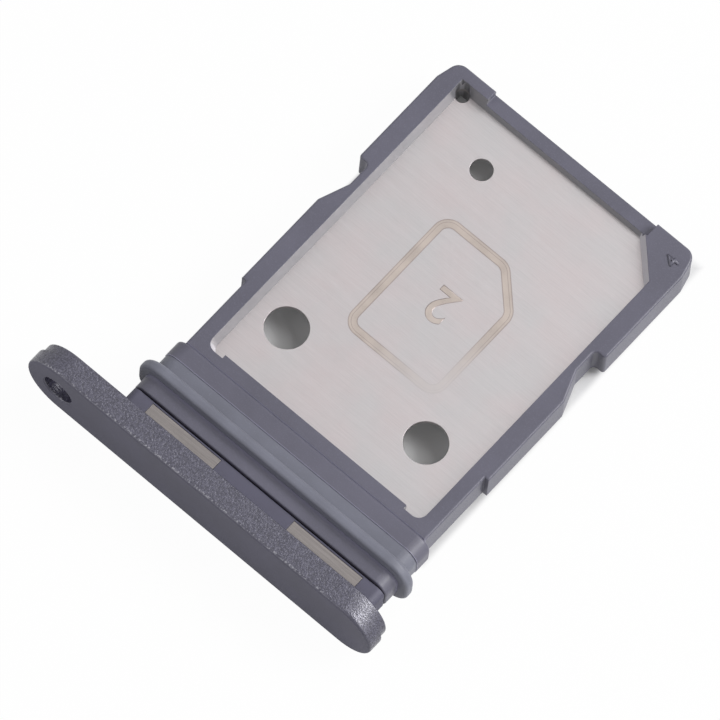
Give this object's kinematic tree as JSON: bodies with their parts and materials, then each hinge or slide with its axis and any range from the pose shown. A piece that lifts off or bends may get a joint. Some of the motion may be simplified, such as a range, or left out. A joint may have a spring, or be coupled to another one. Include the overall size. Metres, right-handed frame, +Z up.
{
  "type": "sim card tray",
  "caption": "Slim slide-in tray with a round-ended head bar, rubber-sealed neck and notched moulded frame round a thin steel floor that carries a nano card on each face.",
  "frame": {"origin": "middle of the card pocket, on the upper face of the steel floor", "axes": "+Y the way the tray slides into its slot, +Z up out of the upper card pocket, +X to the right with the head bar towards the viewer"},
  "size_m": [0.0148, 0.0174, 0.0026],
  "materials": {
    "head_metal": "bead-blasted and anodised blue grey, with bare contact pads",
    "frame_plastic": "satin moulded blue-grey plastic",
    "floor_steel": "fine brushed stainless sheet",
    "seal_rubber": "smooth grey silicone rubber"
  },
  "bodies": {
    "root": {"head_bar": "head_metal", "tray_frame": "frame_plastic", "floor_plate": "floor_steel", "seal_ring": "seal_rubber"}
  },
  "joints": []
}
